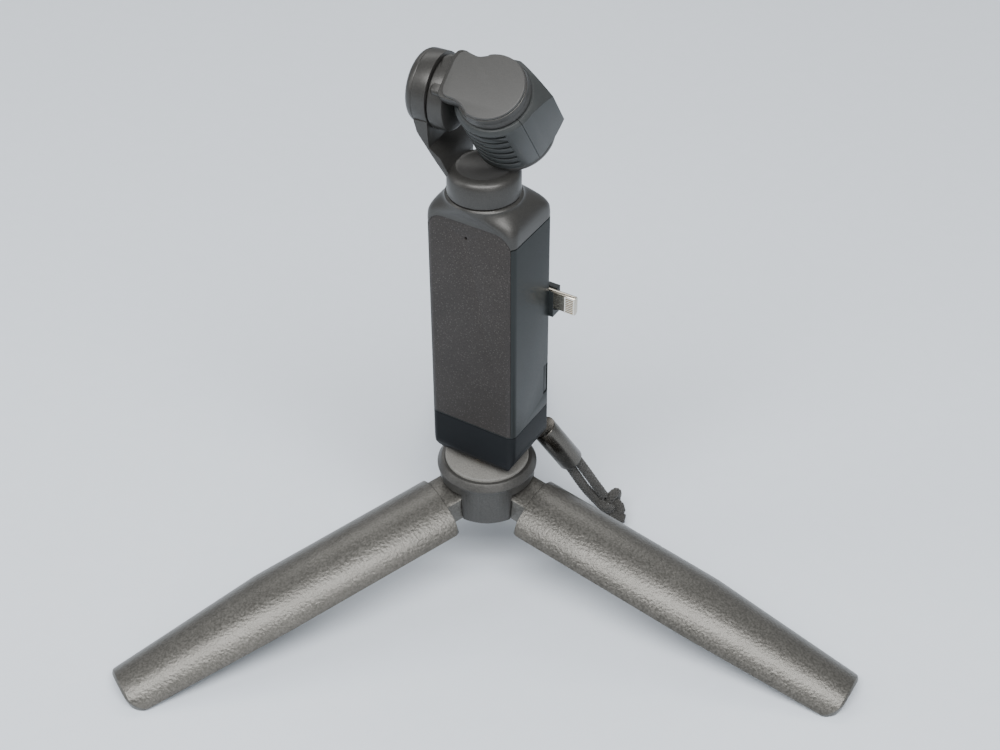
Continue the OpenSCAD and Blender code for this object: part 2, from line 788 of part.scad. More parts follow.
color([0.7, 0.7, 0.72]) at_tilt_motor() motor_bearing_shape();  // tilt_bearing
arm_cover();
color([0.6, 0.6, 0.62]) at_tilt_motor() motor_rotor_shape();  // tilt_rotor
head_rear_shell();
head_front_shell();
head_side_cover();
lens_ring();
lens_glass();
lens_barrel();
sensor_board();
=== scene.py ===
# %% [markdown]
# # Pocket gimbal camera on a folding mini tripod
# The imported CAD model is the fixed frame: every part already has its place and its motion.
# Blender only gives each part its surface. Sizes in this file are in millimetres and are
# turned into metres at the last moment, because the frame is in metres.

# %% Load the frame
import math
import bmesh
import bpy
from mathutils import Matrix, Vector
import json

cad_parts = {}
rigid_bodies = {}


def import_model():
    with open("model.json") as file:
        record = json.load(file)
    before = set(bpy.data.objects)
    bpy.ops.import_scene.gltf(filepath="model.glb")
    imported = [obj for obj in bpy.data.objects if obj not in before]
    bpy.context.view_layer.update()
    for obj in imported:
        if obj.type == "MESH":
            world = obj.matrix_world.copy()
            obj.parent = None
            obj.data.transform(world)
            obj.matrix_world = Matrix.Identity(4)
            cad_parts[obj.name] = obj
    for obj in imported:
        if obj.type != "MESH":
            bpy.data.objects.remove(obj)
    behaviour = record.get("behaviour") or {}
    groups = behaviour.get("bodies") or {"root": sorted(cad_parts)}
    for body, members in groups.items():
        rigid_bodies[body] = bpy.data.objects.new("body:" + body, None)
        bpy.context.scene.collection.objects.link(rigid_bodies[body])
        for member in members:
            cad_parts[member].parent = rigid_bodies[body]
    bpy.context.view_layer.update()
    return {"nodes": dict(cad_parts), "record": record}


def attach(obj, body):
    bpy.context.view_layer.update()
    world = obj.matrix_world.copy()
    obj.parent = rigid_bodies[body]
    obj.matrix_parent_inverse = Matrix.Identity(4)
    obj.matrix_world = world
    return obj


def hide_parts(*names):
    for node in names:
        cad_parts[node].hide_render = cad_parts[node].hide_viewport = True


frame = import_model()
MM = 0.001
record = frame["record"]
BODY = {n: b for b, nodes in record["behaviour"]["bodies"].items() for n in nodes}

# %% Two short helpers
def add_object(name, data):
    """A new object with that data, linked to the scene."""
    o = bpy.data.objects.new(name, data)
    bpy.context.scene.collection.objects.link(o)
    return o

def evaluated_mesh(o):
    """A plain mesh of the object with its modifiers applied."""
    bpy.context.view_layer.update()
    return bpy.data.meshes.new_from_object(o.evaluated_get(bpy.context.evaluated_depsgraph_get()))

print("helpers ready")

# %% [markdown]
# ## Camera
# A camera is placed by its four columns: right, up, backwards and position. Working them out
# from a heading, a tilt and a roll keeps the picture's horizon and its perspective exact.

# %% Camera
def look(place, heading, down, lean):
    h, d, l = (math.radians(a) for a in (heading, down, lean))
    ahead = Vector((math.sin(h) * math.cos(d), math.cos(h) * math.cos(d), -math.sin(d)))
    side = Vector((math.cos(h), -math.sin(h), 0))
    top = side.cross(ahead)
    right = side * math.cos(l) + top * math.sin(l)
    up = top * math.cos(l) - side * math.sin(l)
    m = Matrix((right, up, -ahead)).transposed().to_4x4()
    m.translation = place
    return m

CAMERA_PLACE = Vector((0.01161, -0.42761, 0.42643))
HEADING, DOWN, LEAN = -0.98, 39.38, -0.25
LENS, SENSOR = 64.23, 36
camera = add_object("camera", bpy.data.cameras.new("camera"))
camera.matrix_world = look(CAMERA_PLACE, HEADING, DOWN, LEAN)
camera.data.sensor_width = SENSOR
camera.data.lens = LENS
camera.data.clip_start = 0.01
bpy.context.scene.camera = camera
print("camera", tuple(round(v, 3) for v in camera.location))

# %% [markdown]
# ## Finishes
# Real surfaces are never one flat colour. A powder coat is a metal with millions of tiny lumps,
# moulded plastic has a fine spark-eroded grain, and rubber is mottled. One recipe serves them all:
# a fine noise tints the colour and the roughness, a second one gives the bump, and a large slow
# noise keeps big faces from looking flat. All of it is read on Object coordinates, so that the
# grain has one size on every piece.

# %% Recipe for a grained finish
SLOW_GRAIN = 14
ROUGH_SPREAD = 0.06

def finish(name, tone, other, rough=0.5, metal=0.0, grain=0.3, bump=0.1, depth=0.04, speck=0.0,
           speck_tone=(0.7, 0.7, 0.68), coat=0.0, sheen=0.0, cloud=0.06, shine=0.5):
    """A material of two tones. The grain, bump depth and specks are in millimetres."""
    m = bpy.data.materials.new(name)
    m.use_nodes = True
    nt = m.node_tree
    b = nt.nodes["Principled BSDF"]
    put, new = nt.links.new, nt.nodes.new
    b.inputs["Metallic"].default_value = metal
    b.inputs["Specular IOR Level"].default_value = shine
    b.inputs["Coat Weight"].default_value = coat
    b.inputs["Coat Roughness"].default_value = 0.15
    b.inputs["Sheen Weight"].default_value = sheen
    at = new("ShaderNodeTexCoord").outputs["Object"]

    def noise(size_mm, detail=2.0):
        n = new("ShaderNodeTexNoise")
        n.inputs["Scale"].default_value = 1 / (size_mm * MM)
        n.inputs["Detail"].default_value = detail
        put(at, n.inputs["Vector"])
        return n.outputs["Fac"]

    def ramp(value, low, high, a, b2):
        r = new("ShaderNodeMapRange")
        for k, v in zip(("From Min", "From Max", "To Min", "To Max"), (low, high, a, b2)):
            r.inputs[k].default_value = v
        put(value, r.inputs["Value"])
        return r.outputs["Result"]

    def mix(fac, a, b2):
        x = new("ShaderNodeMix")
        x.data_type = "RGBA"
        for sock, v in ((x.inputs[0], fac), (x.inputs[6], a), (x.inputs[7], b2)):
            if isinstance(v, (tuple, float, int)):
                sock.default_value = (*v, 1) if isinstance(v, tuple) else v
            else:
                put(v, sock)
        return x.outputs[2]

    fine = noise(grain)
    slow = noise(SLOW_GRAIN, 3)
    colour = mix(ramp(fine, 0.35, 0.65, 0, 1), tone, other)
    dim = tuple(c * (1 - cloud * 4) for c in tone)
    colour = mix(ramp(slow, 0.35, 0.75, 0, 0.35), colour, dim)
    if speck:
        dots = new("ShaderNodeTexVoronoi")
        dots.inputs["Scale"].default_value = 1 / (speck * MM)
        put(at, dots.inputs["Vector"])
        colour = mix(ramp(dots.outputs["Distance"], 0.12, 0.3, 0.55, 0), colour, speck_tone)
    put(colour, b.inputs["Base Color"])
    put(ramp(fine, 0.3, 0.7, rough - ROUGH_SPREAD, rough + ROUGH_SPREAD), b.inputs["Roughness"])
    lump = new("ShaderNodeBump")
    lump.inputs["Strength"].default_value = bump
    lump.inputs["Distance"].default_value = depth * MM
    put(noise(grain * 1.3, 3), lump.inputs["Height"])
    put(lump.outputs["Normal"], b.inputs["Normal"])
    return m

# %% [markdown]
# The numbers after each pair of tones are the roughness, the metal share, the size of the grain,
# and the strength and depth of its bumps. Coated pieces get some metal, plastics get less shine
# than the default, and polished pieces keep a low roughness.

# %% Finishes of this object
leg_coat = finish("leg_powder_coat", (0.088, 0.085, 0.077), (0.135, 0.13, 0.119), 0.37, 0.65, 0.7, 0.9, 0.16,
                  0.4, (0.15, 0.143, 0.13))
hub_coat = finish("hub_powder_coat", (0.050, 0.049, 0.046), (0.07, 0.068, 0.064), 0.42, 0.5, 0.5, 0.5, 0.07)
arm_coat = finish("gimbal_coat", (0.036, 0.035, 0.033), (0.050, 0.049, 0.046), 0.38, 0.45, 0.25, 0.3, 0.03)
cover_coat = finish("arm_cover_coat", (0.042, 0.042, 0.040), (0.054, 0.053, 0.051), 0.5, 0.15, 0.25, 0.35,
                    0.03, cloud=0.02)
head_coat = finish("camera_head_coat", (0.030, 0.033, 0.033), (0.038, 0.041, 0.041), 0.40, 0.1, 0.25, 0.2,
                   0.02, shine=0.32)
base_skin = finish("base_plastic", (0.0045, 0.0055, 0.007), (0.0065, 0.008, 0.0095), 0.5, 0, 0.2, 0.3, 0.03,
                   shine=0.15)
frame_skin = finish("side_plastic", (0.0125, 0.0155, 0.016), (0.016, 0.019, 0.0195), 0.42, 0, 0.2, 0.15, 0.02,
                    shine=0.22)
panel_skin = finish("front_plastic", (0.021, 0.0185, 0.0175), (0.038, 0.034, 0.032), 0.5, 0, 0.35, 0.5, 0.05,
                    0.8, (0.085, 0.08, 0.075), shine=0.22)
seat_skin = finish("seat_rubber", (0.13, 0.127, 0.118), (0.19, 0.185, 0.17), 0.72, 0, 0.3, 0.6, 0.08, 0.7,
                   (0.05, 0.05, 0.048))
pad_skin = finish("pad_rubber", (0.012, 0.012, 0.012), (0.022, 0.022, 0.022), 0.8, 0, 0.4, 0.5, 0.06)
black_skin = finish("black_plastic", (0.009, 0.009, 0.010), (0.015, 0.015, 0.016), 0.4, 0, 0.2, 0.2, 0.02)
steel = finish("ground_steel", (0.42, 0.42, 0.42), (0.55, 0.55, 0.54), 0.3, 1, 0.3, 0.2, 0.02)
gunmetal = finish("polished_gunmetal", (0.10, 0.093, 0.083), (0.12, 0.112, 0.10), 0.24, 1, 0.5, 0.04, 0.01,
                  cloud=0.03)
brass = finish("turned_brass", (0.62, 0.46, 0.2), (0.7, 0.53, 0.26), 0.3, 1, 0.3, 0.1, 0.02)
gold = finish("gold_plate", (0.7, 0.5, 0.22), (0.78, 0.58, 0.28), 0.25, 1, 0.2, 0.05, 0.01)
nickel = finish("nickel_plate", (0.5, 0.46, 0.39), (0.58, 0.54, 0.46), 0.22, 1, 0.3, 0.05, 0.01)
white_skin = finish("white_contact_block", (0.7, 0.7, 0.68), (0.76, 0.76, 0.74), 0.35, 0, 0.3, 0.05, 0.01)
copper = finish("motor_copper", (0.5, 0.24, 0.12), (0.65, 0.34, 0.18), 0.35, 1, 0.25, 0.5, 0.05)
board_skin = finish("circuit_board", (0.01, 0.09, 0.05), (0.015, 0.12, 0.07), 0.35, 0, 0.6, 0.3, 0.03)
cell_skin = finish("battery_film", (0.03, 0.09, 0.2), (0.04, 0.11, 0.24), 0.25, 0, 0.6, 0.05, 0.01, coat=0.5)
screen_skin = finish("screen_glass", (0.006, 0.006, 0.008), (0.008, 0.008, 0.01), 0.08, 0, 0.5, 0.01, 0.005,
                     coat=1.0)
lens_skin = finish("lens_coating", (0.01, 0.012, 0.03), (0.015, 0.012, 0.04), 0.05, 0.1, 1.0, 0.01, 0.005,
                   coat=1.0)
cord_skin = finish("braided_cord", (0.010, 0.010, 0.009), (0.05, 0.048, 0.043), 0.7, 0, 0.16, 0.8, 0.05,
                   sheen=0.25)
print("finishes", len(bpy.data.materials))

# %% [markdown]
# ## A CAD part with softened edges
# A machined or moulded edge always has a small radius, and that thin line of light is what makes
# a part look real. A CAD mesh is loose triangles, so a copy of it is welded, its flat faces are
# joined, and a Bevel modifier rounds what is still sharp. The copy stands in for its node.

# %% Soft copy of a node
def settle(o, node, skin=None, instead=True):
    """Gives a piece its finish and its body, and lets it stand in for the node."""
    if skin:
        o.data.materials.clear()
        o.data.materials.append(skin)
    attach(o, BODY[node])
    if instead:
        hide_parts(node)
    return o

def smooth_by(mesh, degrees):
    for p in mesh.polygons:
        p.use_smooth = True
    mesh.set_sharp_from_angle(angle=math.radians(degrees))

SHARP_EDGE, SMOOTH_EDGE, FLAT_JOINT = 32, 35, 0.4
WELD = 0.002

def soften(o, width, steps=2):
    b = o.modifiers.new("edge", "BEVEL")
    b.width, b.segments, b.limit_method = width * MM, steps, "ANGLE"
    b.angle_limit = math.radians(SHARP_EDGE)
    b.harden_normals = False
    done = evaluated_mesh(o)
    o.modifiers.clear()
    o.data = done
    done.name = o.name
    smooth_by(done, SMOOTH_EDGE)
    return o

def soft_copy(node, skin, width, steps=2, weld=WELD):
    bm = bmesh.new()
    bm.from_mesh(frame["nodes"][node].data)
    bmesh.ops.remove_doubles(bm, verts=bm.verts, dist=weld * MM)
    bmesh.ops.dissolve_limit(bm, angle_limit=math.radians(FLAT_JOINT), verts=bm.verts, edges=bm.edges)
    mesh = bpy.data.meshes.new(node + "_soft")
    bm.to_mesh(mesh)
    bm.free()
    return settle(soften(add_object(node + "_soft", mesh), width, steps), node, skin)

def soft_copies(rows):
    """One soft copy for each row of node, finish, edge width and steps."""
    for node, skin, width, steps in rows:
        soft_copy(node, skin, width, steps)
    print("soft copies", len(rows))

# %% [markdown]
# ## Tripod
# The three legs are alike, so a loop makes them. Their ends have close points, which are welded
# a little wider than on the other parts. The hub's edges are crisp, and the pad's are round.

# %% Tripod parts
for side in ("left", "right", "rear"):
    soft_copy("leg_" + side, leg_coat, 0.45, 3, weld=0.02)
    soft_copy("foot_" + side, pad_skin, 0.3)
    soft_copy("hinge_pin_" + side, steel, 0.2)
soft_copies([
    ("hub_body", hub_coat, 0.14, 2), ("seat_disc", seat_skin, 0.5, 3), ("tripod_screw", steel, 0.15, 2),
    ("hub_cap", black_skin, 0.3, 2), ("thread_insert", brass, 0.15, 2)])

# %% [markdown]
# ## Handle
# The handle is a rounded box with a screwed-on base, two flush panels and a sloped shoulder.
# The flat parts only need their edges softened, so they are soft copies too.

# %% Handle parts
soft_copies([
    ("base_mount", base_skin, 0.5, 3), ("handle_frame", frame_skin, 0.22, 2),
    ("front_panel", panel_skin, 0.3, 3), ("rear_panel", panel_skin, 0.3, 3),
    ("screen_glass", screen_skin, 0.2, 2), ("adapter_shell", frame_skin, 0.5, 3),
    ("adapter_plug", nickel, 0.25, 3), ("power_button", frame_skin, 0.3, 3),
    ("shutter_button", black_skin, 0.5, 3), ("mode_button", black_skin, 0.5, 3),
    ("strap_anchor", steel, 0.3, 2), ("strap_barrel", gunmetal, 0.35, 3)])

# %% [markdown]
# ## Gimbal and camera head
# The pan arm and its cap are cast and coated, with rounder edges than the handle. The head's
# rear shell has narrow vents, so its edges are only just broken.

# %% Gimbal parts
soft_copies([
    ("pan_arm", arm_coat, 0.5, 3), ("roll_cap", arm_coat, 0.3, 3), ("head_rear_shell", head_coat, 0.07, 2),
    ("head_front_shell", head_coat, 0.4, 3), ("head_side_cover", arm_coat, 0.35, 3),
    ("lens_ring", black_skin, 0.3, 2), ("lens_glass", lens_skin, 0.3, 2),
    ("lens_barrel", black_skin, 0.3, 2)])

# %% [markdown]
# ## Camera arm
# The arm is one casting: a disc on the roll motor, and a flat plate that narrows and then swells
# round the tilt motor, with a thin cover on it. Its outline is a circle and two flowing lines, so
# it is drawn point by point and pushed up to a plate. The outline is in the arm's own frame, and
# one matrix stands it in its place.

# %% Outline of the arm
GIMBAL_Z, PAN_REST, ROLL_REST = 172.7, 154, 56
TILT_X = -5.5
ARM = (Matrix.Translation((0, 0, GIMBAL_Z)) @ Matrix.Rotation(math.radians(PAN_REST), 4, "Z")
       @ Matrix.Rotation(math.radians(ROLL_REST), 4, "X"))

def flowing(points, steps=8):
    """Catmull-Rom line through the points."""
    pts = [Vector(p) for p in points]
    pts = [2 * pts[0] - pts[1], *pts, 2 * pts[-1] - pts[-2]]
    line = []
    for i in range(1, len(pts) - 2):
        a, b, c, d = pts[i - 1:i + 3]
        for k in range(steps):
            u = k / steps
            line.append(0.5 * (2 * b + (c - a) * u + (2 * a - 5 * b + 4 * c - d) * u * u
                               + (3 * b - a - 3 * c + d) * u ** 3))
    return [*line, pts[-2]]

def arm_line(r, first, below, above):
    """Outline of radius r round the tilt motor, from that angle on, closed by two flowing lines."""
    back = [(TILT_X + r * math.cos(math.radians(a)), r * math.sin(math.radians(a)))
            for a in range(first, 361 - first, 4)]
    below, above = flowing(below, 6), flowing(above, 6)
    return [*back, *((p[0], p[1]) for p in below[1:]), *((p[0], p[1]) for p in above[:-1])]

BODY_LINE = arm_line(10.1, 66, [(-1.5, -9.0), (0.6, -7.3), (3, -6.4), (5.6, -6.4), (7.8, -6.0), (8.8, -4.6)],
                     [(8.8, 6.8), (7.8, 8.5), (5.8, 8.9), (3.4, 8.2), (1, 8.0), (-1.5, 9.0)])
COVER_LINE = arm_line(9.8, 67, [(-1.7, -8.7), (0.6, -7.0), (3, -6.1), (5.2, -5.9), (6.8, -5.1), (7.5, -3.3)],
                      [(7.5, 4.8), (6.7, 7.3), (5.1, 8.3), (3.2, 7.95), (1, 7.7), (-1.7, 8.7)])
print("outline points", len(BODY_LINE), len(COVER_LINE))

# %% Plates, turned parts and cuts

def plate(name, line, y0, y1, place):
    """Closed plate with the outline in X and Z, from y0 to y1."""
    n = len(line)
    pts = [(x, y, z) for y in (y0, y1) for x, z in line]
    sides = [(i, (i + 1) % n, n + (i + 1) % n, n + i) for i in range(n)]
    mesh = bpy.data.meshes.new(name)
    mesh.from_pydata(pts, [], [*sides, tuple(range(n - 1, -1, -1)), tuple(range(n, 2 * n))])
    return stand(mesh, name, place)

def stand(mesh, name, place):
    """Puts a mesh drawn in millimetres in its place, with its faces pointing outwards."""
    mesh.transform(Matrix.Scale(MM, 4) @ place)
    bm = bmesh.new()
    bm.from_mesh(mesh)
    bmesh.ops.remove_doubles(bm, verts=bm.verts, dist=WELD * MM)
    bmesh.ops.recalc_face_normals(bm, faces=bm.faces)
    bm.to_mesh(mesh)
    bm.free()
    return add_object(name, mesh)

def turned(name, profile, place, steps=96):
    """Solid of revolution: (distance along X, radius) pairs turned round the X axis."""
    pts, faces = [], []
    for x, r in profile:
        pts += [(x, r * math.cos(2 * math.pi * i / steps), r * math.sin(2 * math.pi * i / steps))
                for i in range(steps)]
    for k in range(len(profile) - 1):
        faces += [(k * steps + i, k * steps + (i + 1) % steps, (k + 1) * steps + (i + 1) % steps,
                   (k + 1) * steps + i) for i in range(steps)]
    last = (len(profile) - 1) * steps
    faces += [tuple(range(steps)), tuple(range(last, last + steps))]
    mesh = bpy.data.meshes.new(name)
    mesh.from_pydata(pts, [], faces)
    return stand(mesh, name, place)

def carve(o, cutter):
    """Cuts the cutter's shape out of the object, and removes the cutter."""
    m = o.modifiers.new("carve", "BOOLEAN")
    m.object, m.operation, m.solver = cutter, "DIFFERENCE", "EXACT"
    o.data = evaluated_mesh(o)
    o.modifiers.clear()
    bpy.data.objects.remove(cutter)
    return o

def unite(name, *parts):
    """One object with the meshes of several, which are removed."""
    bm = bmesh.new()
    for o in parts:
        bm.from_mesh(o.data)
        bpy.data.objects.remove(o)
    mesh = bpy.data.meshes.new(name)
    bm.to_mesh(mesh)
    bm.free()
    return add_object(name, mesh)

print("shapers ready")

# %% Camera arm
POCKET_R = 8.6
TILT_MOTOR = ARM @ Matrix.Translation((TILT_X, 6.7, 0)) @ Matrix.Rotation(math.radians(90), 4, "Z")
ROLL_MOTOR = ARM @ Matrix.Translation((12.75, 0, 0))
body = plate("arm_plate", BODY_LINE, 7.6, 10.86, ARM)
carve(body, turned("pocket", [(-1, POCKET_R), (3.6, POCKET_R)], TILT_MOTOR))
rim = turned("arm_rim", [(0, POCKET_R), (0, 9.9), (0.3, 10.35), (1.4, 10.35), (2.2, 10.1), (2.2, POCKET_R)],
             TILT_MOTOR)
disc = turned("arm_disc", [(-5.25, 0.01), (-5.25, 9.2), (-4.9, 10.0), (-4.2, 10.36), (-0.7, 10.36),
                           (-0.35, 10.1), (-0.3, 9.6), (-0.3, 0.01)], ROLL_MOTOR)
web = plate("arm_web", [(7.4, -5.4), (10.6, -5.4), (12.2, -4.6), (12.2, 6.2), (10.6, 7.4), (7.4, 7.9)],
            3.0, 10.1, ARM)
soften(body, 0.3, 3)
soften(web, 1.2, 3)
smooth_by(rim.data, SMOOTH_EDGE)
smooth_by(disc.data, SMOOTH_EDGE)
settle(unite("tilt_arm_soft", body, rim, disc, web), "tilt_arm", arm_coat)
cover = soften(plate("arm_cover_soft", COVER_LINE, 10.8, 11.88, ARM), 0.38, 4)
settle(cover, "arm_cover", cover_coat)
print("camera arm", len(cover.data.polygons), "faces in the cover")

# %% [markdown]
# ## Shoulder
# The handle's square section flows into the round collar under the pan ring. Rings of points are
# found by walking outwards from the middle until the rounded rectangle's edge is met, and joined
# to one smooth skin. The recesses of the two panels are carved out afterwards.

# %% Shoulder
YAW = Matrix.Rotation(math.radians(-30.4), 4, "Z")

def edge_at(angle, hx, hy, r):
    """Distance from the middle to the edge of a rounded rectangle in that direction."""
    dx, dy = abs(math.cos(angle)), abs(math.sin(angle))
    low, high = 0.0, hx + hy
    for _ in range(30):
        d = (low + high) / 2
        qx, qy = d * dx - (hx - r), d * dy - (hy - r)
        inside = min(max(qx, qy), 0) + math.hypot(max(qx, 0), max(qy, 0)) < r
        low, high = (d, high) if inside else (low, d)
    return low

def loft(name, sections, steps=128):
    """Closed skin over sections of height, half width, half depth, corner radius and middle's Y."""
    pts = []
    for z, hx, hy, r, cy in sections:
        for i in range(steps):
            a = 2 * math.pi * (i + 0.5) / steps
            d = edge_at(a, hx, hy, r)
            pts.append((d * math.cos(a), cy + d * math.sin(a), z))
    faces = [(k * steps + i, k * steps + (i + 1) % steps, (k + 1) * steps + (i + 1) % steps,
              (k + 1) * steps + i) for k in range(len(sections) - 1) for i in range(steps)]
    last = (len(sections) - 1) * steps
    faces += [tuple(range(steps - 1, -1, -1)), tuple(range(last, last + steps))]
    mesh = bpy.data.meshes.new(name)
    mesh.from_pydata(pts, [], faces)
    return stand(mesh, name, YAW)

def shoulder_sections():
    """From the handle's section to the collar's, with a slow start and a slow end."""
    out = [(132.62, 14.8, 11.3, 2.4, 2.5), (132.8, 14.98, 11.48, 2.5, 2.5), (134.6, 14.98, 11.48, 2.5, 2.5)]
    for k in range(1, 13):
        u = k / 12
        s = u * u * (3 - 2 * u)
        z = 134.6 + 8.5 * u ** 0.62
        w = 1 - s
        out.append((z, 11.5 + 3.48 * w, 11.2 + 0.28 * w, 2.5 + (11.15 - 2.5) * s ** 0.8, 2.5 * w))
    return [*out, (143.3, 11.3, 11.1, 11.05, 0), (143.6, 10.9, 10.9, 10.89, 0), (143.7, 10.4, 10.4, 10.39, 0)]

def panel_line(half, z0, z1, r=5.5):
    """Outline of a panel with its two upper corners rounded."""
    arc = [(half - r + r * math.cos(math.radians(a)), z1 - r + r * math.sin(math.radians(a)))
           for a in range(0, 91, 9)]
    return [(-half, z0), (half, z0), *arc, *((-x, z) for x, z in reversed(arc))]

shoulder = loft("top_shoulder_soft", shoulder_sections())
for y0, y1 in ((-12, -8), (13, 17)):
    carve(shoulder, plate("recess", panel_line(14, 120, 137.0), y0, y1, YAW))
UPRIGHT = Matrix.Rotation(math.radians(-90), 4, "Y")
carve(shoulder, turned("pocket", [(139.8, POCKET_R), (144.5, POCKET_R)], UPRIGHT))
smooth_by(shoulder.data, 28)
settle(shoulder, "top_shoulder", arm_coat)
print("shoulder", len(shoulder.data.polygons), "faces")

# %% [markdown]
# ## Inner parts
# Motors, battery and boards are hidden by the shells, but they show when a shell is taken off.

# %% Inner parts
INNER = {"display_module": black_skin, "battery": cell_skin, "main_board": board_skin,
         "board_shields": steel, "usb_port": steel, "microphones": gold, "sensor_board": board_skin}
for axis in ("pan", "roll", "tilt"):
    INNER[axis + "_stator"], INNER[axis + "_bearing"], INNER[axis + "_rotor"] = copper, steel, steel
for node, skin in INNER.items():
    soft_copy(node, skin, 0.12)
print("inner parts", len(INNER))

# %% [markdown]
# ## Node trees
# Geometry Nodes place what repeats. A small builder keeps each tree readable: it makes the named
# inputs, and a value is given to the modifier by the socket's identifier before it is evaluated.

# %% Builder for trees
class Tree:
    def __init__(self, name, **inputs):
        self.t = bpy.data.node_groups.new(name, "GeometryNodeTree")
        face = self.t.interface
        face.new_socket("Geometry", in_out="INPUT", socket_type="NodeSocketGeometry")
        self.ids = {}
        for k, v in inputs.items():
            kind = "NodeSocketInt" if isinstance(v, int) else "NodeSocketFloat"
            s = face.new_socket(k, in_out="INPUT", socket_type=kind)
            s.default_value = v
            self.ids[k] = s.identifier
        face.new_socket("Geometry", in_out="OUTPUT", socket_type="NodeSocketGeometry")
        self.start = self.t.nodes.new("NodeGroupInput")
        self.end = self.t.nodes.new("NodeGroupOutput")

    def add(self, kind, values=None, **options):
        n = self.t.nodes.new(kind)
        for k, v in options.items():
            setattr(n, k, v)
        for k, v in (values or {}).items():
            if isinstance(v, bpy.types.NodeSocket):
                self.t.links.new(v, n.inputs[k])
            else:
                n.inputs[k].default_value = v
        return n

    def put_in(self, name):
        return self.start.outputs[name]

    def math(self, what, a, b=0.0):
        return self.add("ShaderNodeMath", {0: a, 1: b}, operation=what).outputs[0]

    def scaled(self, v, s):
        return self.add("ShaderNodeVectorMath", {0: v, "Scale": s}, operation="SCALE").outputs[0]

    def close(self, geometry, skin):
        real = self.add("GeometryNodeRealizeInstances", {0: geometry})
        done = self.add("GeometryNodeSetMaterial", {"Geometry": real.outputs[0], "Material": skin})
        self.t.links.new(done.outputs[0], self.end.inputs[0])

    def bake(self, host, **values):
        m = host.modifiers.new("tree", "NODES")
        m.node_group = self.t
        for k, v in values.items():
            m[self.ids[k]] = v
        mesh = evaluated_mesh(host)
        mesh.name = host.name
        made = add_object(host.name + "_made", mesh)
        bpy.data.objects.remove(host)
        return made

print("tree builder ready")

# %% [markdown]
# ## Braided cords
# A paracord sheath is woven from strands that wind round the core in both directions and pass
# over and under each other. The tree copies the cord's path once for each strand, pushes every
# point out along the path's own normal by a turning angle, and gives each copy a thickness.

# %% Tree of a braid
def braid_tree(skin):
    t = Tree("braid", Strands=6, Radius=1.16 * MM, Thickness=0.46 * MM, Pitch=8.0 * MM, Wave=0.16 * MM)
    path = t.add("GeometryNodeResampleCurve", {"Curve": t.put_in("Geometry")}, mode="LENGTH")
    path.inputs["Length"].default_value = 0.3 * MM
    inner = t.add("GeometryNodeCurvePrimitiveCircle", {"Resolution": 12, "Radius": 1.1 * MM})
    core = t.add("GeometryNodeCurveToMesh", {"Curve": path.outputs[0], "Profile Curve": inner.outputs[0],
                                             "Fill Caps": True})
    joined = t.add("GeometryNodeJoinGeometry", {0: core.outputs[0]})
    for way in (1, -1):
        copies = t.add("GeometryNodeDuplicateElements", {"Geometry": path.outputs[0],
                       "Amount": t.put_in("Strands")}, domain="SPLINE")
        kept = t.add("GeometryNodeCaptureAttribute", {0: copies.outputs[0]}, domain="CURVE")
        kept.capture_items.new("INT", "strand")
        t.t.links.new(copies.outputs["Duplicate Index"], kept.inputs[1])
        along = t.add("GeometryNodeSplineParameter").outputs["Length"]
        turn = t.math("MULTIPLY", t.math("DIVIDE", along, t.put_in("Pitch")), 2 * math.pi * way)
        first = t.math("MULTIPLY", t.math("DIVIDE", kept.outputs[1], t.put_in("Strands")), 2 * math.pi)
        angle = t.math("ADD", turn, first)
        cross = t.math("MULTIPLY", t.math("MULTIPLY", turn, float(way)), t.put_in("Strands"))
        wave = t.math("MULTIPLY", t.math("MULTIPLY", t.math("COSINE", cross), float(way)), t.put_in("Wave"))
        out = t.math("ADD", t.put_in("Radius"), wave)
        normal = t.add("GeometryNodeInputNormal").outputs[0]
        tangent = t.add("GeometryNodeInputTangent").outputs[0]
        third = t.add("ShaderNodeVectorMath", {0: normal, 1: tangent}, operation="CROSS_PRODUCT").outputs[0]
        move = t.add("ShaderNodeVectorMath", {
            0: t.scaled(normal, t.math("MULTIPLY", t.math("COSINE", angle), out)),
            1: t.scaled(third, t.math("MULTIPLY", t.math("SINE", angle), out))}, operation="ADD").outputs[0]
        moved = t.add("GeometryNodeSetPosition", {"Geometry": kept.outputs[0], "Offset": move})
        ring = t.add("GeometryNodeCurvePrimitiveCircle", {"Resolution": 6, "Radius": t.put_in("Thickness")})
        strand = t.add("GeometryNodeCurveToMesh", {"Curve": moved.outputs[0],
                                                   "Profile Curve": ring.outputs[0], "Fill Caps": True})
        t.t.links.new(strand.outputs[0], joined.inputs[0])
    t.close(joined.outputs[0], skin)
    return t

def path_curve(name, points, closed=False):
    c = bpy.data.curves.new(name, "CURVE")
    c.dimensions = "3D"
    c.twist_mode = "MINIMUM"
    s = c.splines.new("POLY")
    s.points.add(len(points) - 1)
    for p, q in zip(s.points, points):
        p.co = (*(v * MM for v in q), 1)
    s.use_cyclic_u = closed
    return add_object(name, c)

def braided(name, node, points, closed=False, instead=True):
    """A braid along the points, settled as a piece of that node."""
    o = braid.bake(path_curve(name, points, closed))
    o.name = name
    smooth_by(o.data, BRAID_EDGE)
    return settle(o, node, instead=instead)

BRAID_EDGE = 60
braid = braid_tree(cord_skin)
print("braid tree", len(braid.t.nodes), "nodes")

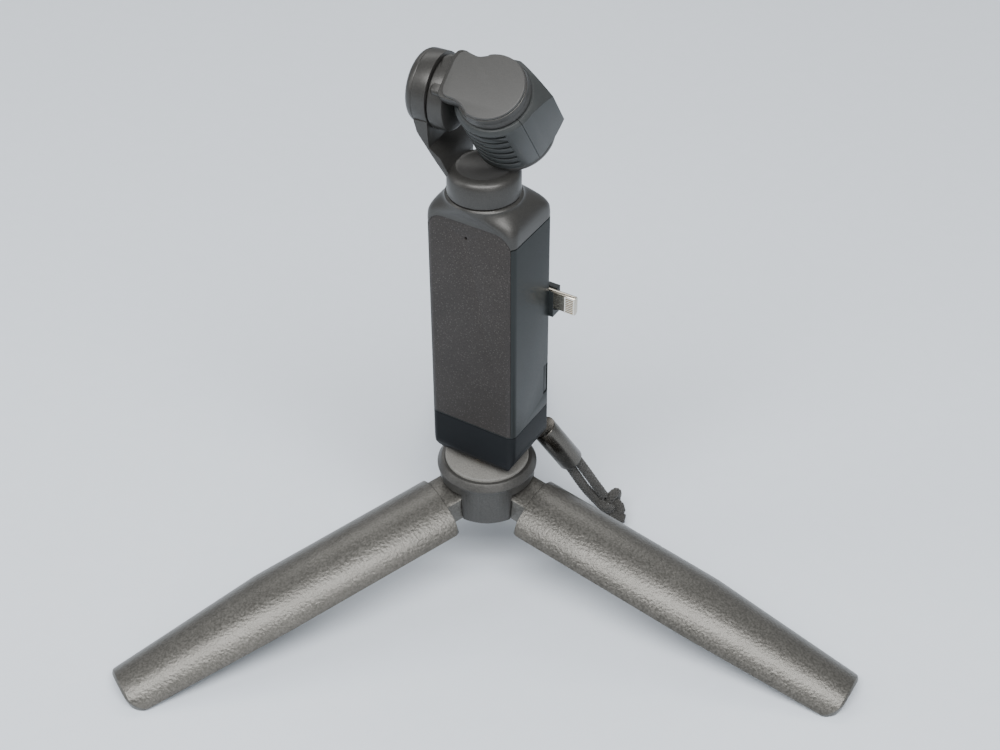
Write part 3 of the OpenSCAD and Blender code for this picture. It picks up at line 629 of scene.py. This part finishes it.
# %% Two strands of the strap
UPPER = [(22.4, 11.4, 40.7), (24.4, 12, 37.3), (26.3, 12.6, 33.9), (28.8, 13.3, 29.6), (30.8, 13.8, 26),
         (33, 14, 22), (35.2, 14.1, 18), (37.2, 14.2, 14.4), (39.2, 14.2, 11)]
LOWER = [(19.4, 11.4, 39), (21.4, 12, 35.5), (23.3, 12.6, 32.1), (25.8, 13.3, 27.8), (27.6, 13.6, 24.4),
         (29.6, 13.8, 20.6), (31.6, 13.9, 16.8), (33.8, 14, 13.2), (36.4, 14, 9.8), (38, 14.1, 7.8)]
for name, points in (("strap_cord_upper", UPPER), ("strap_cord_lower", LOWER)):
    line = flowing(points)
    o = braided(name + "_braid", name, line)

# %% [markdown]
# ## Knot
# The cord ends in a tight overhand knot. A closed trefoil line, which crosses itself three times,
# looks like one from every side, so the same braid is run along it. A short tail comes out of it.

# %% Knot
def knot_line(centre, scale, flat, turns, n=150):
    out = []
    for i in range(n):
        a = 2 * math.pi * i / n
        p = Vector((math.sin(a) + 2 * math.sin(2 * a), math.cos(a) - 2 * math.cos(2 * a), -math.sin(3 * a)))
        p = Vector((p.x * scale, p.y * scale, p.z * flat))
        for axis, angle in turns:
            p.rotate(Matrix.Rotation(math.radians(angle), 3, axis))
        out.append(Vector(centre) + p)
    return out

KNOT_AT = (41.4, 14.6, 7.0)
TAIL = [(38.5, 13.2, 5.4), (41, 11.6, 4.6), (43.6, 11, 4.2), (46.2, 10.6, 3.9)]
knot = braided("strap_knot_braid", "strap_knot", knot_line(KNOT_AT, 1.45, 2.2, (("X", 50), ("Z", 35))), True)
tail = braided("strap_knot_tail", "strap_knot", flowing(TAIL), instead=False)
print("knot faces", len(knot.data.polygons))

# %% [markdown]
# ## Contacts and screws
# Eight contacts lie side by side on a white block in the plug, and four screws hold the boards.
# Both repeat, so a tree makes one and places it on points. The screws' round heads are flattened
# towards their faces, and everything is turned with the handle.

# %% Contact row, block and screws
def stand_on(name, points_at, kind, sizes, skin):
    """Instances of a primitive node, in the handle's frame, on the vertices of a point mesh."""
    t = Tree(name, Size=1.0)
    one = t.add(kind, sizes)
    copies = t.add("GeometryNodeInstanceOnPoints", {
        "Points": t.put_in("Geometry"), "Instance": one.outputs[0], "Scale": t.put_in("Size")})
    t.close(copies.outputs[0], skin)
    mesh = bpy.data.meshes.new(name)
    mesh.from_pydata([tuple(v * MM for v in p) for p in points_at], [], [])
    o = t.bake(add_object(name, mesh))
    o.name = name
    return o

def to_handle(o):
    o.data.transform(YAW)
    o.data.update()
    return o

PLUG_X, PLUG_Z = 21.9, 102.5
CONTACT_STEP, MIDDLE = 0.66, 3.5
SCREW_FLAT, HEAD_LOW, HEAD_FROM = 3, 4.4, 3.4
contacts = stand_on("adapter_contact_row",
                    [(PLUG_X, 12.36, PLUG_Z + (i - MIDDLE) * CONTACT_STEP) for i in range(8)],
                    "GeometryNodeMeshCube", {"Size": (2.6 * MM, 0.1 * MM, 0.36 * MM)}, gold)
settle(to_handle(contacts), "adapter_contacts")
block = stand_on("adapter_contact_block", [(PLUG_X, 12.37, PLUG_Z)],
                 "GeometryNodeMeshCube", {"Size": (3.4 * MM, 0.06 * MM, 5.8 * MM)}, white_skin)
settle(to_handle(block), "adapter_plug", instead=False)
screws = stand_on("board_screws", [(x, 4.9, z) for x in (-10.2, 10.2) for z in (68, 126)],
                  "GeometryNodeMeshUVSphere", {"Segments": 24, "Rings": 8, "Radius": 1.5 * MM}, steel)
for v in screws.data.vertices:
    v.co.y = (HEAD_LOW + (v.co.y / MM - HEAD_FROM) / SCREW_FLAT) * MM
settle(to_handle(screws), "housing_screws")
print("contacts", len(contacts.data.polygons), "screws", len(screws.data.polygons))

# %% [markdown]
# ## Studio
# A pale sweep and four large soft lights, with the brightest above, leave long soft highlights
# on the coated legs and the barrel.

# %% Studio
floor_skin = finish("paper_sweep", (0.66, 0.71, 0.77), (0.67, 0.72, 0.78), 0.9, 0, 6, 0, 0.01, cloud=0.0)
mesh = bpy.data.meshes.new("sweep")
mesh.from_pydata([(-4, -3, 0), (4, -3, 0), (4, 5, 0), (-4, 5, 0)], [], [(0, 1, 2, 3)])
mesh.materials.append(floor_skin)
add_object("sweep", mesh)

def soft_light(name, place, target, size, power):
    light = bpy.data.lights.new(name, "AREA")
    light.shape, light.size, light.size_y, light.energy = "RECTANGLE", size[0], size[1], power
    o = add_object(name, light)
    o.location = place
    o.rotation_euler = (Vector(target) - Vector(place)).to_track_quat("-Z", "Y").to_euler()

soft_light("top_box", (0, -0.6, 1.1), (0, 0, 0), (1.5, 0.45), 27)
soft_light("back_box", (-0.1, 0.8, 0.9), (0, 0, 0), (1.2, 0.3), 4)
soft_light("left_box", (-1.0, -0.1, 0.6), (0, 0, 0.1), (0.4, 0.8), 3)
soft_light("front_fill", (0.4, -1.2, 0.5), (0, 0, 0.1), (0.8, 0.5), 2.5)
world = bpy.context.scene.world or bpy.data.worlds.new("studio")
bpy.context.scene.world = world
world.use_nodes = True
sky = world.node_tree.nodes["Background"]
sky.inputs[0].default_value = (0.96, 0.98, 1, 1)
sky.inputs[1].default_value = 0.42
print("studio ready")

# %% [markdown]
# ## Sizes and finish

# %% Sizes
import json
